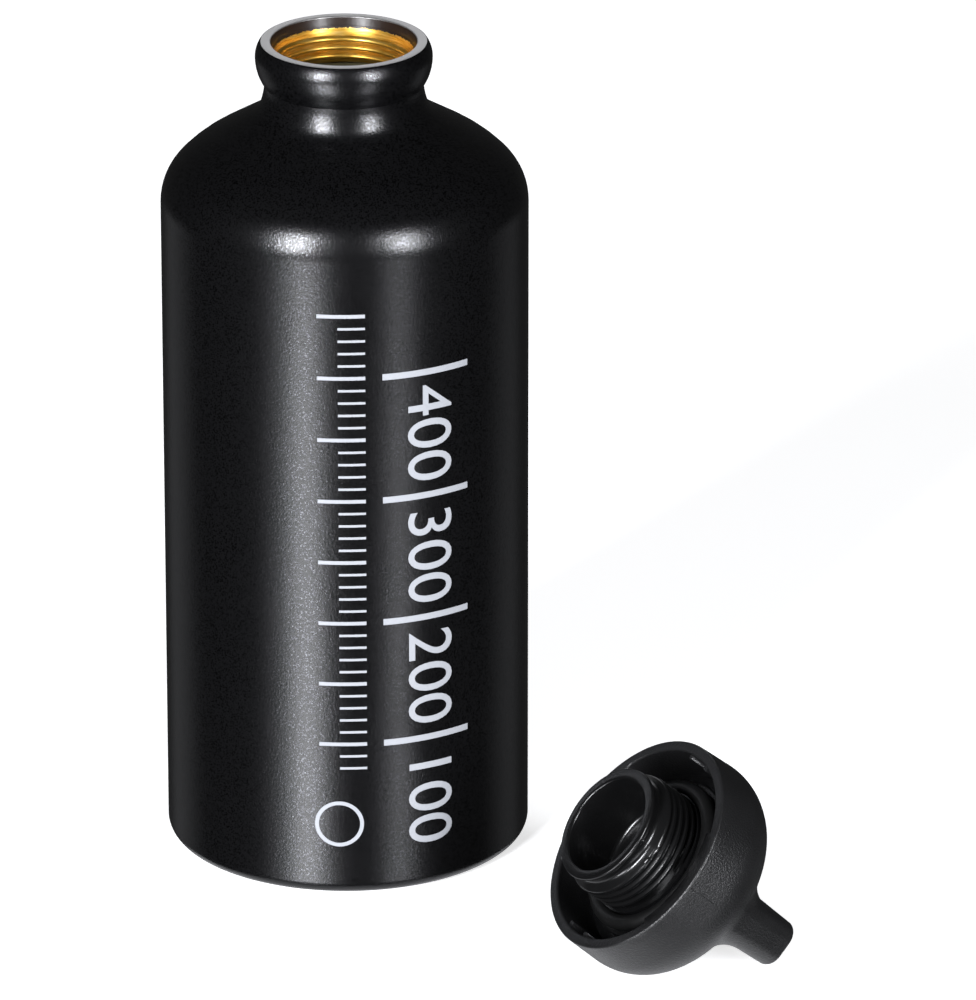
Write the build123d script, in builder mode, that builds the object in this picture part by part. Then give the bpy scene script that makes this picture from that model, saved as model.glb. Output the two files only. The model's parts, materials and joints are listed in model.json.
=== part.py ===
from build123d import *
import os
from math import asin, atan2, cos, degrees, radians, sin, sqrt, tan

os.makedirs("parts", exist_ok=True)

# A camping fuel bottle with its screw cap lying beside it.
# Millimetres, +Z up. The bottle stands on z = 0 with its axis on Z, and the cap lies on the same floor.

# Angles that are true of any size
quarter_turn = 90.0

# Bottle body, from the base up: a drawn aluminium shell with a dished base
body_radius = 36.5
bottle_height = 168.2
wall = 1.1
base_wall = 1.8
base_corner_radius = 2.9
floor_corner_radius = 3.0
dish_rise = 4.2
foot_ring_width = 3.7
foot_round = 2.0

# Shoulder: two arcs in a row, then a hollow root where the neck leaves it straight up to the bead
shoulder_radius = 11.3
shoulder_turn = 43.7
crown_turn = 30.1
root_radius = 3.5
root_turn = 57.5
neck_straight = 6.7

# Neck bead, given by drops below the rim: the shell is rolled in under it and over it to hold the thread ring
bead_radius = 17.6
bead_wall = 1.3
bead_drop = 3.1
crease_drop = 8.5
bead_low_radius = 9.9
bead_high_radius = 7.3
mouth_radius = 14.5
lip_radius = 14.0
lip_depth = 1.7
seat_drop = 8.4

# Thread ring: its thread is a plain wall here
ring_fit = 0.05
ring_bottom_drop = 8.2
thread_wall_radius = 13.45
ring_lead = 1.2
ring_tail = 0.5

# Cap bell, with z = 0 at its rim and +Z towards the handle
rim_wall = 2.1
rim_round = 0.5
skirt_flare = 0.3
skirt_wall = 2.4
dome_base = 8.45
dome_radius = 11.2
dome_turn = 62.0

# Handle: one upright fin, whose ends start flush with the skirt and narrow towards the top
fin_top = 34.8
fin_half_width = 13.9
fin_root_inset = 0.6
fin_thickness = 9.8
fin_root_thickness = 10.4
fin_corner_radius = 3.4
fin_round = 1.6
fin_root_round = 6.5

# Inside the bell: guide lands with snap lips, finger ribs, drive webs and the hub that turns on the plug
land_proud = 0.9
land_gap = 0.6
land_half_angle = 31.0
lip_gap = 0.1
lip_height = 0.8
lip_ramp = 1.0
lip_hook = 0.6
rib_width = 1.2
rib_proud = 0.9
rib_foot = 0.9
rib_angle = 81.5
web_thickness = 1.6
web_gap = 0.1
drive_count = 8
hub_radius = 8.0
hub_gap = 1.95
push_travel = 1.2

# Plug: a hollow nose, the thread band, the seal's seat, two flanges and the spigot that the bell turns on
nose_reach = 8.5
nose_radius = 12.2
nose_height = 0.85
nose_round = 0.6
nose_bore_radius = 10.1
bore_end_round = 1.0
bore_floor = 3.9
relief_radius = 11.4
lead_start = 5.4
band_start = 4.6
band_radius = 13.2
undercut_radius = 12.3
undercut_start = 2.4
seat_start = 3.5
seat_radius = 13.4
seal_flange_radius = 17.2
seal_flange_face = 6.4
seal_flange_thickness = 2.0
drive_flange_proud = 2.1
drive_flange_thickness = 1.7
tooth_inner_radius = 13.6
tooth_outer_radius = 18.6
tooth_width = 2.4
tooth_height = 1.6
tooth_draft = 12.0
spigot_radius = 4.8
spigot_reach = 2.35
spigot_chamfer = 0.5
turning_clearance = 0.3

# Seal ring and spring washer
seal_fit = 0.05
seal_wire_radius = 1.5
washer_thickness = 0.6
washer_outer_radius = 12.4

# Where the cap lies: its rim's centre on the floor plan, and the way its handle points
cap_x = 57.3
cap_y = -68.65
cap_heading = 26.0


def inward_share(from_lean, to_lean):
    """How far an arc runs inwards, as a share of its radius, while its lean from upright changes."""
    return abs(cos(radians(from_lean)) - cos(radians(to_lean)))


def upward_share(from_lean, to_lean):
    """How far an arc runs upwards, as a share of its radius, while its lean from upright changes."""
    return abs(sin(radians(from_lean)) - sin(radians(to_lean)))


# Worked out: the dish, which leaves the foot ring its width
foot_reach = body_radius - base_corner_radius - foot_ring_width
dish_slope = 2 * degrees(atan2(dish_rise, foot_reach))
dish_radius = dish_rise / (1 - cos(radians(dish_slope))) - foot_round

# Worked out: the crown, which takes the shoulder in to the neck, and the side, which gets the rest of the height
crown_lean = shoulder_turn + crown_turn
neck_lean = crown_lean - root_turn
crease_radius = bead_radius - bead_low_radius + sqrt(bead_low_radius**2 - (crease_drop - bead_drop) ** 2)
neck_foot_radius = crease_radius + neck_straight * tan(radians(neck_lean))
shoulder_inward = shoulder_radius * inward_share(0, shoulder_turn)
root_inward = root_radius * inward_share(crown_lean, neck_lean)
crown_inward = body_radius - neck_foot_radius - shoulder_inward - root_inward
crown_radius = crown_inward / inward_share(shoulder_turn, crown_lean)
shoulder_rise = shoulder_radius * upward_share(0, shoulder_turn)
crown_rise = crown_radius * upward_share(shoulder_turn, crown_lean)
root_rise = root_radius * upward_share(crown_lean, neck_lean)
side_height = bottle_height - crease_drop - neck_straight - root_rise - crown_rise - shoulder_rise

# Worked out: the cap from the plug's flanges outwards, which the bell's lands, rim and dome go round
drive_flange_radius = seal_flange_radius + drive_flange_proud
lip_inner_radius = drive_flange_radius - lip_hook
land_radius = drive_flange_radius + land_gap
rim_inner_radius = land_radius + land_proud
rim_radius = rim_inner_radius + rim_wall
dome_centre_radius = rim_radius + skirt_flare - dome_radius
fin_root_half_width = rim_radius + skirt_flare - fin_root_inset

# Worked out: the cap from the plug's flanges upwards, with room for the push
drive_flange_face = seal_flange_face + seal_flange_thickness
flange_top = drive_flange_face + drive_flange_thickness
land_top = drive_flange_face - lip_gap
hub_foot = flange_top + hub_gap
spigot_top = hub_foot + spigot_reach
web_foot = flange_top + tooth_height + push_travel + web_gap
roof_height = dome_base + dome_radius - skirt_wall
washer_foot = flange_top + seal_fit
washer_top = hub_foot - seal_fit
washer_inner_radius = spigot_radius + turning_clearance
seal_radius = seat_radius + seal_fit + seal_wire_radius
seal_height = seal_flange_face - seal_fit - seal_wire_radius


def fin_round_middle():
    """How far from the fin's middle plane the rounding of its top edge has its centre."""
    lean = (fin_root_thickness - fin_thickness) / 2 / (fin_top - dome_base)
    return fin_thickness / 2 + fin_round * (lean - sqrt(1 + lean**2))


def cap_tilt():
    """Degrees from level at which the dome and the fin's edge both touch the floor."""
    along = fin_top - fin_round - dome_base
    across = dome_centre_radius - fin_round_middle()
    rise = dome_radius - fin_round
    return degrees(asin(rise / sqrt(along**2 + across**2)) + atan2(across, along))


def cap_stand_plane():
    """The plane of the cap's rim where it lies, with its z pointing to the handle and its x level."""
    tilt = radians(cap_tilt())
    heading = radians(cap_heading)
    rim_height = dome_centre_radius * cos(tilt) + dome_base * sin(tilt) + dome_radius
    handle_way = (cos(tilt) * cos(heading), cos(tilt) * sin(heading), -sin(tilt))
    level_way = (sin(heading), -cos(heading), 0)
    return Plane((cap_x, cap_y, rim_height), x_dir=level_way, z_dir=handle_way)


def upright_plane(angle):
    """An upright plane through Z, with its x pointing out at an angle from X and its y up."""
    turn = radians(angle)
    return Plane((0, 0, 0), x_dir=(cos(turn), sin(turn), 0), z_dir=(sin(turn), -cos(turn), 0))


def bead_point(drop, inset):
    """A point of the bead's outline, moved inwards by inset, at a drop below the rim."""
    arc_radius = bead_low_radius if drop > bead_drop else bead_high_radius
    reach = sqrt((arc_radius - inset) ** 2 - (drop - bead_drop) ** 2)
    return (bead_radius - arc_radius + reach, bottle_height - drop)


def bead_arc(low_drop, high_drop, inset):
    """The bead's outline from one drop up to another, as one arc."""
    middle = bead_point((low_drop + high_drop) / 2, inset)
    return ThreePointArc(bead_point(low_drop, inset), middle, bead_point(high_drop, inset))


def shoulder_line(start, inset):
    """Side, shoulder, crown and neck root, moved inwards by inset, as one run of tangent curves."""
    side = Line(start, (body_radius - inset, side_height))
    shoulder = JernArc(side @ 1, side % 1, shoulder_radius - inset, shoulder_turn)
    crown = JernArc(shoulder @ 1, shoulder % 1, crown_radius - inset, crown_turn)
    return JernArc(crown @ 1, crown % 1, root_radius + inset, -root_turn)


def dome_reach(height, inset):
    """Radius of the bell's dome, moved inwards by inset, at a height above its rim."""
    return dome_centre_radius + sqrt((dome_radius - inset) ** 2 - (height - dome_base) ** 2)


# Bottle shell: one profile, outside and inside, turned about Z
with BuildPart() as bottle_shell:
    with BuildSketch(Plane.XZ):
        with BuildLine():
            dish = JernArc((0, dish_rise), (1, 0), dish_radius, -dish_slope)
            foot = JernArc(dish @ 1, dish % 1, foot_round, dish_slope)
            stand = Line(foot @ 1, (body_radius - base_corner_radius, 0))
            corner = JernArc(stand @ 1, stand % 1, base_corner_radius, quarter_turn)
            root = shoulder_line(corner @ 1, 0)
            Line(root @ 1, bead_point(crease_drop, 0))
            bead_arc(crease_drop, bead_drop, 0)
            bead_arc(bead_drop, 0, 0)
            # The flat rim, the bevel inside it and the underside that holds the thread ring down
            Polyline(
                bead_point(0, 0),
                (mouth_radius, bottle_height),
                (lip_radius, bottle_height - lip_depth),
                bead_point(lip_depth, bead_wall),
            )
            bead_arc(bead_drop, lip_depth, bead_wall)
            bead_arc(seat_drop, bead_drop, bead_wall)
            # The inside, from the middle of the floor up to the thread ring's seat
            floor_dish = JernArc((0, dish_rise + base_wall), (1, 0), dish_radius + base_wall, -dish_slope)
            floor_foot = JernArc(floor_dish @ 1, floor_dish % 1, foot_round, dish_slope)
            floor_end = (body_radius - wall - floor_corner_radius, (floor_foot @ 1).Y)
            floor_ring = Line(floor_foot @ 1, floor_end)
            floor_corner = JernArc(floor_ring @ 1, floor_ring % 1, floor_corner_radius, quarter_turn)
            inner_root = shoulder_line(floor_corner @ 1, wall)
            Line(inner_root @ 1, bead_point(seat_drop, bead_wall))
            Line((0, dish_rise), (0, dish_rise + base_wall))
        make_face()
    revolve(axis=Axis.Z)
bottle_shell.part.label = "bottle_shell"
export_step(bottle_shell.part, "parts/bottle_shell.step")


# Thread ring: its back follows the bead, and a lead leads the plug into its thread
with BuildPart() as thread_ring:
    ring_top_drop = lip_depth + ring_fit
    ring_top = bottle_height - ring_top_drop
    ring_bottom = bottle_height - ring_bottom_drop
    with BuildSketch(Plane.XZ):
        with BuildLine():
            bead_arc(ring_bottom_drop, bead_drop, bead_wall + ring_fit)
            bead_arc(bead_drop, ring_top_drop, bead_wall + ring_fit)
            Polyline(
                bead_point(ring_top_drop, bead_wall + ring_fit),
                (lip_radius, ring_top),
                (thread_wall_radius, ring_top - ring_lead),
                (thread_wall_radius, ring_bottom + ring_tail),
                (thread_wall_radius + ring_tail, ring_bottom),
                bead_point(ring_bottom_drop, bead_wall + ring_fit),
            )
        make_face()
    revolve(axis=Axis.Z)
thread_ring.part.label = "thread_ring"
export_step(thread_ring.part, "parts/thread_ring.step")


# Plug: turned profile with a blind bore, then the drive teeth on its upper flange
with BuildPart() as plug:
    with BuildSketch(Plane.XZ):
        with BuildLine():
            Polyline(
                (0, bore_floor),
                (nose_bore_radius, bore_floor),
                (nose_bore_radius, -nose_reach),
                (nose_radius, -nose_reach),
                (nose_radius, nose_height - nose_reach),
                (relief_radius, nose_height - nose_reach),
                (relief_radius, -lead_start),
                (band_radius, -band_start),
                (band_radius, undercut_start),
                (undercut_radius, undercut_start),
                (undercut_radius, seat_start),
                (seat_radius, seat_start),
                (seat_radius, seal_flange_face),
                (seal_flange_radius, seal_flange_face),
                (seal_flange_radius, drive_flange_face),
                (drive_flange_radius, drive_flange_face),
                (drive_flange_radius, flange_top),
                (spigot_radius, flange_top),
                (spigot_radius, spigot_top),
                (0, spigot_top),
                (0, bore_floor),
            )
        make_face()
    revolve(axis=Axis.Z)
    fillet(plug.edges().group_by(Axis.Z)[0], nose_round)
    fillet(plug.edges().filter_by_position(Axis.Z, bore_floor, bore_floor), bore_end_round)
    chamfer(plug.edges().group_by(Axis.Z)[-1], spigot_chamfer)
    with BuildSketch(Plane.XY.offset(flange_top)):
        tooth_middle = (tooth_inner_radius + tooth_outer_radius) / 2
        with PolarLocations(tooth_middle, drive_count):
            Rectangle(tooth_outer_radius - tooth_inner_radius, tooth_width)
    extrude(amount=tooth_height, taper=tooth_draft)
plug.part.move(cap_stand_plane().location)
plug.part.label = "plug"
export_step(plug.part, "parts/plug.step")


# Seal ring: a round ring that lies on the plug's lower flange
with BuildPart() as seal_ring:
    with BuildSketch(Plane.XZ):
        with Locations((seal_radius, seal_height)):
            Circle(seal_wire_radius)
    revolve(axis=Axis.Z)
seal_ring.part.move(cap_stand_plane().location)
seal_ring.part.label = "seal_ring"
export_step(seal_ring.part, "parts/seal_ring.step")


# Spring washer: a shallow cone between the plug's upper flange and the bell's hub
with BuildPart() as spring_washer:
    with BuildSketch(Plane.XZ):
        with BuildLine():
            Polyline(
                (washer_outer_radius, washer_foot),
                (washer_outer_radius, washer_foot + washer_thickness),
                (washer_inner_radius, washer_top),
                (washer_inner_radius, washer_top - washer_thickness),
                (washer_outer_radius, washer_foot),
            )
        make_face()
    revolve(axis=Axis.Z)
spring_washer.part.move(cap_stand_plane().location)
spring_washer.part.label = "spring_washer"
export_step(spring_washer.part, "parts/spring_washer.step")


# Drive web of the bell: it hangs from the dome, let into the wall by half the wall's thickness
with BuildPart() as drive_web:
    web_middle = (web_foot + roof_height) / 2
    with BuildSketch(Plane.XZ):
        with BuildLine():
            Polyline(
                (tooth_inner_radius, web_foot),
                (dome_reach(web_foot, skirt_wall / 2), web_foot),
                (dome_reach(web_middle, skirt_wall / 2), web_middle),
                (dome_reach(roof_height, skirt_wall / 2), roof_height),
                (tooth_inner_radius, roof_height + skirt_wall / 2),
                (tooth_inner_radius, web_foot),
            )
        make_face()
    extrude(amount=web_thickness / 2, both=True)


# Guide land of the bell: a thicker stretch of skirt that ends in the lip that snaps over the plug's flange
with BuildPart() as guide_land:
    land_back = (rim_radius + rim_inner_radius) / 2
    with BuildSketch(upright_plane(-land_half_angle)):
        with BuildLine():
            Polyline(
                (land_back, 0),
                (land_radius, 0),
                (land_radius, land_top - lip_height - lip_ramp),
                (lip_inner_radius, land_top - lip_height),
                (lip_inner_radius, land_top),
                (land_back, land_top),
                (land_back, 0),
            )
        make_face()
    revolve(axis=Axis.Z, revolution_arc=2 * land_half_angle)


# Bell: skirt and dome, the fin on top, and what grips and guides it inside
with BuildPart() as bell:
    with BuildSketch(Plane.XZ):
        with BuildLine():
            dome = CenterArc((dome_centre_radius, dome_base), dome_radius, 0, dome_turn)
            # The top of the dome is a flatter arc with its centre on Z
            dome_top_radius = (dome @ 1).X / cos(radians(dome_turn))
            dome_top = JernArc(dome @ 1, dome % 1, dome_top_radius, quarter_turn - dome_turn)
            Polyline(dome @ 0, (rim_radius, 0), (0, 0), dome_top @ 1)
        make_face()
    revolve(axis=Axis.Z)
    # The fin, wider and thicker at its foot, rounded where it leaves the dome and all round its top
    with BuildSketch(Plane.XY.offset(dome_base)):
        RectangleRounded(2 * fin_root_half_width, fin_root_thickness, fin_corner_radius)
    with BuildSketch(Plane.XY.offset(fin_top)):
        RectangleRounded(2 * fin_half_width, fin_thickness, fin_corner_radius)
    loft()
    fin_root = bell.edges(Select.LAST).filter_by_position(Axis.Z, dome_base, fin_top - fin_round)
    fillet(fin_root, fin_root_round)
    fillet(bell.faces().sort_by(Axis.Z)[-1].edges(), fin_round)
    # The hollow under skirt and dome
    with BuildSketch(Plane.XZ):
        with BuildLine():
            dome_inside = CenterArc((dome_centre_radius, dome_base), dome_radius - skirt_wall, 0, quarter_turn)
            Polyline(dome_inside @ 0, (rim_inner_radius, 0), (0, 0), (0, roof_height), dome_inside @ 1)
        make_face()
    revolve(axis=Axis.Z, mode=Mode.SUBTRACT)
    fillet(bell.edges().group_by(Axis.Z)[0], rim_round)
    # The hub, with a blind bore for the plug's spigot
    with BuildSketch(Plane.XY.offset(hub_foot)):
        Circle(hub_radius)
    extrude(amount=roof_height - hub_foot + skirt_wall / 2)
    with BuildSketch(Plane.XY.offset(hub_foot)):
        Circle(spigot_radius + turning_clearance)
    extrude(amount=spigot_top + push_travel + turning_clearance - hub_foot, mode=Mode.SUBTRACT)
    # What is moulded inside: drive webs all round, a land at each end of the fin, and a pair of ribs between
    with PolarLocations(0, drive_count):
        add(drive_web.part)
    with PolarLocations(0, 2):
        add(guide_land.part)
    for angle in (rib_angle, 2 * quarter_turn - rib_angle):
        with BuildSketch(Plane.XY.offset(rib_foot)):
            with PolarLocations(rim_inner_radius, 2, angle):
                Rectangle(2 * rib_proud, rib_width)
        extrude(amount=land_top - rib_foot)
bell.part.move(cap_stand_plane().location)
bell.part.label = "bell"
export_step(bell.part, "parts/bell.step")
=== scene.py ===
import bpy
import bmesh
import json
from math import acos, atan2, ceil, cos, degrees, floor, hypot, pi, radians, sin, sqrt, tau
from mathutils import Matrix, Vector


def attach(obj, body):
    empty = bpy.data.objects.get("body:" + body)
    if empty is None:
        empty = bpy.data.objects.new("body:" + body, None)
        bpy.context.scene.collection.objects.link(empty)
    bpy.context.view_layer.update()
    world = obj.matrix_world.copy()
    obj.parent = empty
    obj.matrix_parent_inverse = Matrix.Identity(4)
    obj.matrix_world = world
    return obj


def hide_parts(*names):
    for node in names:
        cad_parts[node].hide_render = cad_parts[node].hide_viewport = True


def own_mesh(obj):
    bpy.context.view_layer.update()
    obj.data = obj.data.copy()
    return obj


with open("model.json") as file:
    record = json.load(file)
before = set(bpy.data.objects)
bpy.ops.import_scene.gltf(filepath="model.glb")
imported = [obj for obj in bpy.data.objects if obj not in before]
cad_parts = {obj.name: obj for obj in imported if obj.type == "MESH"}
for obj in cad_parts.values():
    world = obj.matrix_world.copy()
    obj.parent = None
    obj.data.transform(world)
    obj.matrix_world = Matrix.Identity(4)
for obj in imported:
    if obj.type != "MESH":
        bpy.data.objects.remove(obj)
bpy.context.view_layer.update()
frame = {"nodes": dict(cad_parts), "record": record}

# %% [markdown]
# # A fuel bottle and its screw cap
# The solids come in from the frame in metres, with the bottle standing on z = 0 and its axis on Z.
# Each could be shown as it is. Here most get a finer mesh of their own, because the light shows every facet.
# Every new mesh is built where its solid is, and rides on the body that the solid belongs to.

# %% Units and how finely curves are cut
MM = 0.001
AROUND = 192
BEND_STEP = 6.0
WELD = 0.001 * MM
print("pieces in the frame:", sorted(frame["nodes"]))

# %% [markdown]
# ## A pen for outlines
# A bottle, a cap or a ring is a turned shape: one outline, spun about an axis.
# Its points could be typed in as a list, but then every arc would be a row of numbers that nobody can change.
# The pen draws the outline in the XZ plane instead. A straight run is an extruded vertex and a bend is a spun
# vertex, so Blender's own operators work out every point. Then the whole outline is spun once round Z.


# %% The pen
class Pen:
    """Draws an outline in millimetres, x outwards and z up, and spins it into a turned shape."""

    def __init__(self, x, z):
        self.bm = bmesh.new()
        self.tip = self.bm.verts.new((x * MM, 0, z * MM))
        self.start = self.tip
        self.heading = 0.0

    def to(self, x, z):
        """A straight run to a point."""
        old = self.tip.co.copy()
        made = bmesh.ops.extrude_vert_indiv(self.bm, verts=[self.tip])
        self.tip = made["verts"][0]
        self.tip.co = (x * MM, 0, z * MM)
        self.heading = degrees(atan2(self.tip.co.z - old.z, self.tip.co.x - old.x))
        return self

    def on(self, length):
        """A straight run in the present heading."""
        way = radians(self.heading)
        return self.to(self.tip.co.x / MM + length * cos(way), self.tip.co.z / MM + length * sin(way))

    def bend(self, radius, turn):
        """A tangent arc that turns left by a positive angle and right by a negative one."""
        side = 1 if turn > 0 else -1
        way = radians(self.heading)
        out = Vector((-sin(way), 0, cos(way))) * (side * radius * MM)
        return self.swing(self.tip.co + out, turn)

    def around(self, x, z, turn):
        """An arc about a given centre."""
        return self.swing(Vector((x * MM, 0, z * MM)), turn)

    def swing(self, centre, turn):
        steps = max(1, ceil(abs(turn) / BEND_STEP))
        made = bmesh.ops.spin(self.bm, geom=[self.tip], cent=centre, axis=(0, -1, 0),
                              angle=radians(turn), steps=steps)
        self.tip = [g for g in made["geom_last"] if isinstance(g, bmesh.types.BMVert)][0]
        self.heading += turn
        return self

    def close(self):
        self.bm.edges.new((self.tip, self.start))
        return self

    def round_off(self, x, z, radius):
        """Rounds the outline's corner at a point."""
        spot = Vector((x * MM, 0, z * MM))
        corner = min(self.bm.verts, key=lambda v: (v.co - spot).length)
        bmesh.ops.bevel(self.bm, geom=[corner], affect="VERTICES", offset=radius * MM, segments=3,
                        profile=0.5, material=-1)
        return self

    def turned(self):
        """Spins the outline once round Z into a closed shape."""
        bmesh.ops.spin(self.bm, geom=self.bm.verts[:] + self.bm.edges[:], cent=(0, 0, 0), axis=(0, 0, 1),
                       angle=tau, steps=AROUND, use_merge=True)
        bmesh.ops.remove_doubles(self.bm, verts=self.bm.verts, dist=WELD)
        bmesh.ops.recalc_face_normals(self.bm, faces=self.bm.faces)
        return self.bm


print("a full turn has", AROUND, "steps, and a bend has one for every", BEND_STEP, "degrees")


# %% [markdown]
# ## From a bmesh to a finished piece
# Every piece ends in the same way, so one helper does it. It makes the object at the origin, unturned, and shades it
# smooth. A shading that is smooth all over would smear the light across real edges. So edges that are steeper than
# the crease stay sharp. Then the piece is told which body it rides on, and the solids that it stands for are hidden.

# %% Finishing a piece
def finish_piece(bm, name, body, materials, stands_for=(), crease=32.0):
    """Makes the object, shades it smooth up to its creases, and says what it rides on."""
    for face in bm.faces:
        face.smooth = True
    mesh = bpy.data.meshes.new(name)
    bm.to_mesh(mesh)
    bm.free()
    mesh.set_sharp_from_angle(angle=radians(crease))
    for material in materials:
        mesh.materials.append(material)
    piece = bpy.data.objects.new(name, mesh)
    bpy.context.scene.collection.objects.link(piece)
    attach(piece, body)
    if stands_for:
        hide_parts(*stands_for)
    print(name, "has", len(mesh.polygons), "faces")
    return piece


def moved_verts(geom):
    """The vertices in what an operator gives back."""
    return [g for g in geom if isinstance(g, bmesh.types.BMVert)]


# %% [markdown]
# ## Material maths in plain Python
# A finish is mostly sums: more sparkle here, less gloss there. Wiring each sum by hand hides what it says.
# The Wire class stands for a number in the node tree, so that 0.3 + grain * 0.1 adds the Math nodes by itself.


# %% Wires
class Wire:
    """A value in a material; + - and * on it add Math nodes."""

    def __init__(self, finish, socket):
        self.finish = finish
        self.socket = socket

    def maths(self, operation, first, second):
        made = self.finish.node("ShaderNodeMath", {"operation": operation}, {0: first, 1: second})
        return Wire(self.finish, made.outputs[0])

    def __add__(self, other):
        return self.maths("ADD", self, other)

    def __radd__(self, other):
        return self.maths("ADD", other, self)

    def __sub__(self, other):
        return self.maths("SUBTRACT", self, other)

    def __rsub__(self, other):
        return self.maths("SUBTRACT", other, self)

    def __mul__(self, other):
        return self.maths("MULTIPLY", self, other)

    def over(self, other):
        """1 where this value is the greater one, and 0 elsewhere."""
        return self.maths("GREATER_THAN", self, other)


# %% Finishes
class Finish:
    """A material with one Principled shader, and the nodes that feed it."""

    def __init__(self, name, **fixed):
        self.material = bpy.data.materials.new(name)
        self.material.use_nodes = True
        self.tree = self.material.node_tree
        self.shader = self.tree.nodes["Principled BSDF"]
        for socket, value in fixed.items():
            self.shader.inputs[socket.replace("_", " ")].default_value = value
        self.place = self.node("ShaderNodeTexCoord").outputs["Object"]

    def node(self, kind, settings=None, inputs=None):
        """Adds a node: its settings come first, then the values or links of its sockets."""
        made = self.tree.nodes.new(kind)
        for key, value in (settings or {}).items():
            setattr(made, key, value)
        for key, value in (inputs or {}).items():
            self.feed(made.inputs[key], value)
        return made

    def feed(self, socket, value):
        if isinstance(value, Wire):
            value = value.socket
        if isinstance(value, bpy.types.NodeSocket):
            self.tree.links.new(value, socket)
        else:
            socket.default_value = value

    def set(self, socket, value):
        self.feed(self.shader.inputs[socket], value)

    def noise(self, scale, detail=2.0, rough=0.5, place=None):
        made = self.node("ShaderNodeTexNoise", None,
                         {"Vector": place or self.place, "Scale": scale, "Detail": detail, "Roughness": rough})
        return Wire(self, made.outputs["Fac"])

    def cells(self, scale):
        """One random value for each of many small cells."""
        made = self.node("ShaderNodeTexVoronoi", None, {"Vector": self.place, "Scale": scale})
        return Wire(self, made.outputs["Color"])

    def stretched(self, scale):
        """The object's space, stretched along each axis for streaks."""
        return self.node("ShaderNodeMapping", None, {"Vector": self.place, "Scale": scale}).outputs[0]

    def axes(self):
        """The x, y and z of a point in the object's own space."""
        made = self.node("ShaderNodeSeparateXYZ", None, {0: self.place})
        return [Wire(self, made.outputs[axis]) for axis in "XYZ"]

    def ramp(self, value, stops):
        """A colour that changes with a value; each stop is a place from 0 to 1 and its colour."""
        made = self.node("ShaderNodeValToRGB", None, {"Fac": value})
        elements = made.color_ramp.elements
        for number, (where, colour) in enumerate(stops):
            stop = elements[number] if number < 2 else elements.new(where)
            stop.position = where
            stop.color = colour
        return made.outputs["Color"]

    def blend(self, share, first, second):
        made = self.node("ShaderNodeMix", {"data_type": "RGBA"}, {0: share, 6: first, 7: second})
        return made.outputs[2]

    def bump(self, height, distance, strength=1.0):
        made = self.node("ShaderNodeBump", None, {"Height": height, "Distance": distance, "Strength": strength})
        self.set("Normal", made.outputs["Normal"])

    def done(self):
        print(self.material.name, "uses", len(self.tree.nodes), "nodes")
        return self.material


# %% [markdown]
# ## Powder coat
# The bottle is sprayed with a satin black powder that melts into a skin with a very fine pebble in it, and with a few
# metal flakes. The flakes show only where a light is mirrored. A bump strong enough to make them would blur that
# light, and white specks would show in the dark too. So the flakes are small cells that turn metallic: a dark metal
# mirrors a little more than the black round it, and nothing else.

# %% Powder coat
PEBBLE_PER_M = 2600
FLAKES_PER_M = 4400
FLAKE_SHARE = 0.66
FLAKE_SPREAD = 3
COAT_BLACK = (0.0030, 0.0030, 0.0033, 1)
FLAKE_DARK = (0.034, 0.034, 0.036, 1)
FLAKE_PALE = (0.082, 0.082, 0.087, 1)


def powder_coat():
    coat = Finish("powder_coat", Specular_IOR_Level=0.42)
    flakes = coat.cells(FLAKES_PER_M)
    lit = flakes.over(FLAKE_SHARE)
    metal = coat.blend((flakes - FLAKE_SHARE) * FLAKE_SPREAD, FLAKE_DARK, FLAKE_PALE)
    coat.set("Base Color", coat.blend(lit, COAT_BLACK, metal))
    coat.set("Metallic", lit)
    coat.set("Roughness", 0.20 + coat.noise(90, 3) * 0.05)
    coat.bump(coat.noise(PEBBLE_PER_M, 3, 0.6), 0.00005, 0.9)
    return coat.done()


coat_finish = powder_coat()


# %% [markdown]
# ## Bare rim
# The rim of the mouth is cut flat after coating, so a ring of bare aluminium shows, with the cutter's fine circles.
# The circles could be modelled, but they are far finer than a pixel. Noise that depends only on the distance from
# the axis gives them.

# %% Bare aluminium with turning marks
CIRCLES_PER_M = 9000
RIM_GREY = (0.60, 0.59, 0.58, 1)
RIM_PALE = (0.76, 0.75, 0.74, 1)


def rim_metal():
    rim = Finish("bare_rim", Metallic=1.0)
    x, y, _ = rim.axes()
    out = rim.node("ShaderNodeMath", {"operation": "SQRT"}, {0: x * x + y * y})
    place = rim.node("ShaderNodeCombineXYZ", None, {0: Wire(rim, out.outputs[0]) * CIRCLES_PER_M})
    rings = rim.noise(1, 3, 0.6, place.outputs[0])
    rim.set("Base Color", rim.blend(rings, RIM_GREY, RIM_PALE))
    rim.set("Roughness", 0.30 + rings * 0.16)
    rim.bump(rings, 0.00002, 0.5)
    return rim.done()


rim_finish = rim_metal()

# %% [markdown]
# ## The lip and the ragged edge of the gold
# The gold lacquer of the mouth ends in a ragged level line, and above it the lip is nearly black. A line that follows
# the mesh would look cut. So the line is a height, moved up and down by noise. It lies on the lip and on the thread
# ring alike, and both use the same helper, so that their edges meet.

# %% Lip, with the ragged edge
GOLD = (0.70, 0.41, 0.065, 1)
LIP_DARK = (0.016, 0.009, 0.006, 1)
RAGGED_AT = 0.16608
RAGGED_SPREAD = 0.0009


def above_ragged_line(finish):
    """1 above a ragged level line, and 0 below it."""
    height = finish.axes()[2]
    return (height + (finish.noise(1300, 3, 0.65) - 0.5) * RAGGED_SPREAD).over(RAGGED_AT)


def lip_lacquer():
    lip = Finish("lip_lacquer", Specular_IOR_Level=0.35)
    dark = above_ragged_line(lip)
    lip.set("Base Color", lip.blend(dark, GOLD, LIP_DARK))
    lip.set("Metallic", (1 - dark) * 0.75)
    lip.set("Roughness", 0.26 + lip.noise(700, 2) * 0.14)
    lip.bump(lip.noise(1500, 2), 0.00005, 0.35)
    return lip.done()


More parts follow.
